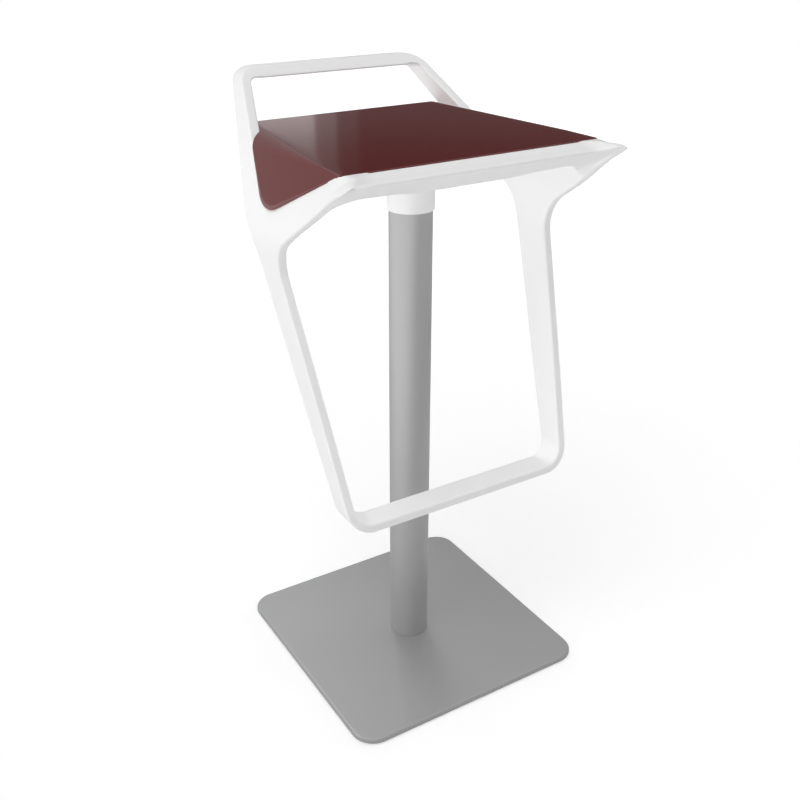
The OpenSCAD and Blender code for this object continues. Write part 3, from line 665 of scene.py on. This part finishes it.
# Point at a length along the outer line from the middle, with its direction and outward normal
def onShell(y, length):
    crease, radius = creaseOf(y)
    turn = math.radians(90 - shell["lean"])
    flat = crease - radius * math.tan(turn / 2)
    angle = np.clip((length - flat) / radius, 0, turn)
    over = np.maximum(length - flat - radius * turn, 0)
    x = np.minimum(length, flat) + radius * np.sin(angle) + over * math.cos(turn)
    z = shell["top"] - radius * (1 - np.cos(angle)) - over * math.sin(turn)
    along = np.stack([np.cos(angle), -np.sin(angle)], -1)
    outward = np.stack([np.sin(angle), np.cos(angle)], -1)
    return np.stack([x, z], -1), along, outward


# Length at which the shell meets the frame: the V's edges, and behind it the arm's inner face
def shellEnd(y):
    lengths = np.linspace(*shell["search"])
    spots = onShell(y, lengths)[0]
    x, z = spots[:, 0], spots[:, 1]
    level = np.full_like(z, y)
    vee = hollowCorner(level, z, ribbon["veeFront"], ribbon["veeRear"], ribbon["veeRadius"])
    arm = np.minimum(sideX(level, z) - ribbon["armThick"] - x, z - shell["armLevel"])
    room = blendMax(vee, arm, shell["armBlend"]) if y > shell["armFrom"] else vee
    if y < shell["cornerEnd"]:
        room = frontCorner(x, level + shell["seam"] + shell["cornerSeam"], z)
    room = room - shell["seam"]
    out = np.flatnonzero(room < 0)
    if len(out) == 0:
        return lengths[-1]
    k = max(out[0], 1)
    share = room[k - 1] / (room[k - 1] - room[k])
    return lengths[k - 1] + share * (lengths[k] - lengths[k - 1])


# Half a ring: the outer line from the middle, the rim, and the inner line back
def shellRing(y, inset):
    crease, radius = creaseOf(y)
    turn = math.radians(90 - shell["lean"])
    end = shellEnd(y) - inset
    flat = crease - radius * math.tan(turn / 2)
    edge = min(shell["edge"], 0.45 * (shell["thick"] - 2 * inset))
    level = min(flat, end - 3 * shell["edge"])
    curved = min(flat + radius * turn, end - 2 * shell["edge"])
    lengths = np.concatenate([
        np.linspace(0, level, shell["flatSteps"]),
        np.linspace(level, curved, shell["arcSteps"] + 1)[1:],
        np.linspace(curved, end - edge, shell["flapSteps"] + 1)[1:],
    ])
    outer, along, outward = onShell(y, lengths)
    last, way, out = (v[0] for v in onShell(y, np.array([end])))
    depth = shell["thick"] - 2 * inset
    last = last - out * inset
    rim = [last - way * edge * (1 - math.sin(a)) - out * edge * (1 - math.cos(a))
           for a in (math.pi / 6, math.pi / 3, math.pi / 2)]
    back = [last - way * edge * (1 - math.cos(a)) - out * (depth - edge * (1 - math.sin(a)))
            for a in (0, math.pi / 6, math.pi / 3, math.pi / 2)]
    # the inner line keeps a small radius where the crease is tighter than the wall
    deep = shell["thick"] - inset
    tight = max(shell["innerRadius"], radius - deep)
    start = crease - (deep + tight) * math.tan(turn / 2)
    angles = np.clip((lengths - flat) / radius, 0, turn)
    inner = outer - outward * deep
    if radius < deep + 1:
        fallen = shell["top"] - deep - tight * (1 - np.cos(angles))
        arc = np.stack([start + tight * np.sin(angles), fallen], -1)
        arc[:, 0] = np.where(angles > 0, arc[:, 0], outer[:, 0] * start / flat)
        bend = arc[shell["flatSteps"] + shell["arcSteps"] - 1]
        share = np.linspace(0, 1, shell["flapSteps"] + 1)[1:, None]
        arc[-shell["flapSteps"]:] = bend + (back[-1] - bend) * share
        inner = arc
    return np.concatenate([outer - outward * inset, rim, back, inner[::-1][1:]])


def seatShell():
    edge = shell["edge"]
    first, last = shell["front"] + edge + shell["rowGap"], shell["rear"] - edge - shell["rowGap"]
    rows = first + (last - first) * np.linspace(0, 1, shell["rows"]) ** shell["rowGrowth"]
    turns = np.radians([0, 30, 60, 90])
    front = [(shell["front"] + edge * (1 - math.cos(a)), edge * (1 - math.sin(a))) for a in turns]
    rear = [(shell["rear"] - (y - shell["front"]), inset) for y, inset in reversed(front)]
    stations = front + [(y, 0) for y in rows] + rear
    rings = []
    for y, inset in stations:
        half = shellRing(y, inset)
        other = half[::-1] * [-1, 1]
        ring = np.concatenate([half, other[1:-1]])
        rings.append(np.column_stack([ring[:, 0], np.full(len(ring), y), ring[:, 1]]))
    count = len(rings[0])
    points = np.concatenate(rings)
    faces = []
    for r in range(len(rings) - 1):
        for i in range(count):
            j = (i + 1) % count
            faces.append((r * count + i, r * count + j, (r + 1) * count + j, (r + 1) * count + i))
    # both ends are closed with strips across the ring
    lastRing = (len(rings) - 1) * count
    halfCount = (count + 2) // 2
    for i in range(halfCount // 2):
        a, b, c, d = i, i + 1, halfCount - 2 - i, halfCount - 1 - i
        faces.append((d, c, b, a))
        faces.append(tuple(lastRing + v for v in (a, b, c, d)))
        if i + 1 <= halfCount // 2:
            a, b, c, d = ((count - v) % count for v in (a, b, c, d))
            faces.append((a, b, c, d))
            faces.append(tuple(lastRing + v for v in (d, c, b, a)))
    addPiece("seatShell", points, faces, "red", "seat", ["seat_pan"])


seatShell()


# Deck under the seat: a plate with a boss round the hub, and ribs and bosses placed by the tree
deck = {
    "outline": [
        (188, -166), (188, -146), (182, -139), (172, -126), (157, 96), (167, 112), (166, 144), (148, 158),
    ],
    "top": 799.0, "bottom": 794.0, "bossFoot": 770.0, "bossRadius": 50.0, "bossBore": 27.0, "steps": 96,
    "ribFoot": 776.0, "ribThick": 4.0, "padRadius": 7.0, "padTop": 803.0,
    "ribs": [
        ((34, -28), (172, -138)), ((34, 28), (156, 118)), ((46, 0), (160, 0)), ((60, -138), (60, 126)),
        ((0, -46), (0, -140)), ((0, 46), (0, 126)), ((0, 126), (158, 126)), ((0, 90), (154, 90)),
    ],
    "pads": [(112, -112), (122, 36), (104, 138)],
}


def deckTree():
    ribDepth = deck["bottom"] + 1 - deck["ribFoot"]
    padHeight = deck["padTop"] - deck["top"] + 1
    tree = GeometryTree("deckTree", {
        "Rib Thickness": ("Float", deck["ribThick"] * mm), "Rib Depth": ("Float", ribDepth * mm),
        "Pad Radius": ("Float", deck["padRadius"] * mm), "Pad Height": ("Float", padHeight * mm),
        "Material": ("Material", materials["white"]),
    })
    ribInputs = {0: 1.0, 1: tree.input("Rib Thickness"), 2: tree.input("Rib Depth")}
    ribSize = tree.node("ShaderNodeCombineXYZ", {}, ribInputs)
    rib = tree.node("GeometryNodeMeshCube", {}, {"Size": ribSize})
    padInputs = {"Vertices": 32, "Radius": tree.input("Pad Radius"), "Depth": tree.input("Pad Height")}
    pad = tree.node("GeometryNodeMeshCylinder", {}, padInputs)
    isRib, isPad = tree.attribute("isRib", "BOOLEAN"), tree.attribute("isPad", "BOOLEAN")
    placed = []
    for shape, chosen in ((rib, isRib), (pad, isPad)):
        turn = tree.node("ShaderNodeCombineXYZ", {}, {2: tree.attribute("turn", "FLOAT")})
        size = tree.node("ShaderNodeCombineXYZ", {}, {0: tree.attribute("reach", "FLOAT"), 1: 1.0, 2: 1.0})
        inputs = {"Points": tree.input("Geometry"), "Selection": chosen, "Instance": shape, "Rotation": turn}
        if shape is rib:
            inputs["Scale"] = size
        placed.append(tree.node("GeometryNodeInstanceOnPoints", {}, inputs))
    either = tree.node("FunctionNodeBooleanMath", {"operation": "OR"}, {0: isRib, 1: isPad})
    plateInputs = {"Geometry": tree.input("Geometry"), "Selection": either}
    plate = tree.node("GeometryNodeDeleteGeometry", {}, plateInputs)
    joined = tree.node("GeometryNodeJoinGeometry", {}, {"Geometry": [plate] + placed})
    real = tree.node("GeometryNodeRealizeInstances", {}, {"Geometry": joined})
    dressInputs = {"Geometry": real, "Material": tree.input("Material")}
    dressed = tree.node("GeometryNodeSetMaterial", {}, dressInputs)
    tree.node("NodeGroupOutput", {}, {"Geometry": dressed})
    return tree


def seatDeck():
    half = deck["outline"]
    outline = half + [(-x, y) for x, y in reversed(half)]
    n = len(outline)
    points = [(x, y, z) for z in (deck["bottom"], deck["top"]) for x, y in outline]
    faces = [tuple(reversed(range(n))), tuple(range(n, 2 * n))]
    faces += [(i, (i + 1) % n, n + (i + 1) % n, n + i) for i in range(n)]
    # the boss is a ring with a square section
    section = [
        (deck["bossRadius"], deck["bossFoot"]), (deck["bossRadius"], deck["bottom"] + 1),
        (deck["bossBore"], deck["bottom"] + 1), (deck["bossBore"], deck["bossFoot"]),
    ]
    start = len(points)
    count = deck["steps"]
    for i in range(count):
        angle = 2 * math.pi * i / count
        points += [(r * math.cos(angle), r * math.sin(angle), z) for r, z in section]
    for i in range(count):
        a, b = start + 4 * i, start + 4 * ((i + 1) % count)
        faces += [(a + k, b + k, b + (k + 1) % 4, a + (k + 1) % 4) for k in range(4)]
    loose = len(points)
    spots = []
    for first, last in deck["ribs"]:
        for side in (1, -1) if first[0] or last[0] else (1,):
            a, b = Vector((side * first[0], first[1])), Vector((side * last[0], last[1]))
            middle = (a + b) / 2
            height = (deck["ribFoot"] + deck["bottom"] + 1) / 2
            turn = math.atan2(b.y - a.y, b.x - a.x)
            spots.append(((middle.x, middle.y, height), (b - a).length, turn, True))
    for x, y in deck["pads"]:
        height = (deck["top"] - 1 + deck["padTop"]) / 2
        spots += [((side * x, y, height), 1 / mm, 0.0, False) for side in (1, -1)]
    points += [spot[0] for spot in spots]
    mesh = bpy.data.meshes.new("seatDeck")
    mesh.from_pydata((np.array(points) * mm).tolist(), [], faces)
    plain = [0.0] * loose
    for name, kind, values in (
        ("reach", "FLOAT", plain + [spot[1] * mm for spot in spots]),
        ("turn", "FLOAT", plain + [spot[2] for spot in spots]),
        ("isRib", "BOOLEAN", [False] * loose + [spot[3] for spot in spots]),
        ("isPad", "BOOLEAN", [False] * loose + [not spot[3] for spot in spots]),
    ):
        mesh.attributes.new(name, kind, "POINT").data.foreach_set("value", values)
    piece = bpy.data.objects.new("seatDeck", mesh)
    bpy.context.scene.collection.objects.link(piece)
    deckTree().applyTo(piece)
    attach(piece, "seat")
    print("seatDeck", len(piece.data.polygons), "faces")


seatDeck()


# Plain floor, soft light and camera
studio = {
    "camera": (-0.7009, -1.1150, 1.0789), "pitch": 26.53, "heading": 31.53, "lens": 45.31,
    "floorHalf": 6.0, "floorColour": (0.9, 0.9, 0.9, 1), "floorLift": 0.24, "farLift": 0.4,
    # the floor's painted light as glossy rays see it: dim and bright levels, and the X span over which it
    # changes
    "farSpan": (0.9, 2.4), "floorPaintedLight": (0.5, 1.2), "paintedLightSpan": (-1.25, -0.1), "ambient": 0.20,
    "wallRadius": 5.0, "wallStep": 5,
}
# Soft lamps: where each shines from, its level on a face square to it, its spread, and whether it shades
lamps = {
    "left": {"from": (-1.0, 0.15, 0.15), "level": 0.43, "spread": 30, "shadow": False},
    "front": {"from": (-0.2, -1.0, 0.1), "level": 0.19, "spread": 30, "shadow": True},
    "right": {"from": (1.0, -0.1, 0.1), "level": 0.36, "spread": 30, "shadow": True},
    "back": {"from": (0.1, 1.0, 0.1), "level": 0.30, "spread": 30, "shadow": True},
    "above": {"from": (0.0, 0.0, 1.0), "level": 0.30, "spread": 30, "shadow": False},
    "below": {"from": (0.0, 0.0, -1.0), "level": 0.10, "spread": 30, "shadow": False},
    "sky": {"from": (-0.45, -0.22, 0.87), "level": 0.20, "spread": 40, "shadow": True},
}
# Studio walls that only glossy surfaces see: headings in degrees, heights, and grey at two heights
wallLevels = (1.65, 2.05)
walls = [
    {"from": -60.0, "to": 20.5, "low": 0.95, "high": 3.5, "grey": (0.45, 0.45)},
    {"from": 20.5, "to": 25.35, "low": 0.95, "high": 2.75, "grey": (0.85, 0.24)},
    {"from": 25.35, "to": 26.9, "low": 0.95, "high": 2.75, "grey": (0.32, 0.15)},
    {"from": 26.9, "to": 28.4, "low": 0.95, "high": 2.75, "grey": (0.15, 0.05)},
    {"from": 28.4, "to": 300.0, "low": 0.95, "high": 2.75, "grey": (0.09, 0.02)},
    {"from": -60.0, "to": 27.5, "low": 3.5, "high": 4.3, "grey": (0.75, 0.75)},
    {"from": -60.0, "to": 27.5, "low": 4.3, "high": 9.0, "grey": (1.5, 1.5)},
    {"from": 27.5, "to": 34.0, "low": 2.75, "high": 9.0, "grey": (0.25, 0.25)},
    {"from": 34.0, "to": 300.0, "low": 2.75, "high": 9.0, "grey": (0.6, 0.6)},
]


# White where the camera, a mirror or a glass sees the background
def seenRay(tree):
    kinds = [tree.node("ShaderNodeLightPath", output=kind)
             for kind in ("Is Camera Ray", "Is Glossy Ray", "Is Transmission Ray")]
    return kinds[0].maths("MAXIMUM", kinds[0] + kinds[1], kinds[2])


def stageFloor():
    h = studio["floorHalf"]
    mesh = bpy.data.meshes.new("floor")
    mesh.from_pydata([(-h, -h, 0), (h, -h, 0), (h, h, 0), (-h, h, 0)], [], [(0, 1, 2, 3)])
    floor = bpy.data.objects.new("floor", mesh)
    material, tree = newMaterial("floorWhite")
    camera = tree.node("ShaderNodeLightPath", output="Is Camera Ray")
    glossy = tree.node("ShaderNodeLightPath", output="Is Glossy Ray")
    spot = tree.node("ShaderNodeTexCoord", output="Object")
    across = tree.node("ShaderNodeSeparateXYZ", {}, {0: spot}, output="X")
    # To glossy rays the floor shows painted light: it glows brighter towards −X, on the side the left lamp
    # shines from, and dimmer towards +X
    dim, bright = studio["floorPaintedLight"]
    mirror = dim + (bright - dim) * (1 - across.smooth(*studio["paintedLightSpan"]))
    lit = tree.node("ShaderNodeBsdfDiffuse", {}, {"Color": studio["floorColour"]})
    away = tree.node("ShaderNodeVectorMath", {"operation": "LENGTH"}, {0: spot}, output="Value")
    growth = (studio["farLift"] - studio["floorLift"]) * away.smooth(*studio["farSpan"])
    lift = studio["floorLift"] + growth
    glow = tree.node("ShaderNodeEmission", {}, {"Strength": lift * camera})
    seen = tree.node("ShaderNodeAddShader", {}, {0: lit, 1: glow})
    paintedFloorLight = tree.node("ShaderNodeEmission", {}, {"Strength": mirror})
    both = tree.node("ShaderNodeMixShader", {}, {0: glossy, 1: seen, 2: paintedFloorLight})
    tree.node("ShaderNodeOutputMaterial", {}, {"Surface": both})
    mesh.materials.append(material)
    bpy.context.scene.collection.objects.link(floor)


def stageWall(index, wall):
    radius = studio["wallRadius"]
    count = max(2, math.ceil((wall["to"] - wall["from"]) / studio["wallStep"]) + 1)
    headings = np.radians(np.linspace(wall["from"], wall["to"], count))
    heights = (wall["low"], wall["high"])
    points = [(radius * math.sin(a), radius * math.cos(a), z) for a in headings for z in heights]
    faces = [(2 * i, 2 * i + 1, 2 * i + 3, 2 * i + 2) for i in range(count - 1)]
    mesh = bpy.data.meshes.new(f"wall{index}")
    mesh.from_pydata(points, [], faces)
    material, tree = newMaterial(f"wallGrey{index}")
    spot = tree.node("ShaderNodeTexCoord", output="Object")
    height = tree.node("ShaderNodeSeparateXYZ", {}, {0: spot}, output="Z")
    near, upper = wall["grey"]
    grey = near + (upper - near) * height.smooth(*wallLevels)
    glow = tree.node("ShaderNodeEmission", {}, {"Strength": grey})
    tree.node("ShaderNodeOutputMaterial", {}, {"Surface": glow})
    mesh.materials.append(material)
    card = bpy.data.objects.new(f"wall{index}", mesh)
    for kind in ("camera", "diffuse", "shadow", "transmission", "volume_scatter"):
        setattr(card, f"visible_{kind}", False)
    bpy.context.scene.collection.objects.link(card)


def stageLamp(name, lamp):
    data = bpy.data.lights.new(name, "SUN")
    data.energy = lamp["level"] * math.pi
    data.angle = math.radians(lamp["spread"])
    data.use_shadow = lamp["shadow"]
    light = bpy.data.objects.new(name, data)
    light.rotation_euler = Vector(lamp["from"]).to_track_quat("Z", "Y").to_euler()
    light.visible_glossy = False
    bpy.context.scene.collection.objects.link(light)


def stageWorld():
    world = bpy.data.worlds.new("studio")
    bpy.context.scene.world = world
    tree = ShaderTree(world)
    strength = studio["ambient"] + (1 - studio["ambient"]) * seenRay(tree)
    background = tree.node("ShaderNodeBackground", {}, {"Color": (1, 1, 1, 1), "Strength": strength})
    tree.node("ShaderNodeOutputWorld", {}, {"Surface": background})


def stageCamera():
    data = bpy.data.cameras.new("camera")
    data.lens = studio["lens"]
    data.sensor_width = 36
    camera = bpy.data.objects.new("camera", data)
    camera.location = studio["camera"]
    camera.rotation_euler = (math.radians(90 - studio["pitch"]), 0, -math.radians(studio["heading"]))
    bpy.context.scene.collection.objects.link(camera)
    bpy.context.scene.camera = camera
    bpy.context.scene.view_settings.view_transform = "Standard"


stageFloor()
for index, wall in enumerate(walls):
    stageWall(index, wall)
for name, lamp in lamps.items():
    stageLamp(name, lamp)
stageWorld()
stageCamera()
print("stage set")
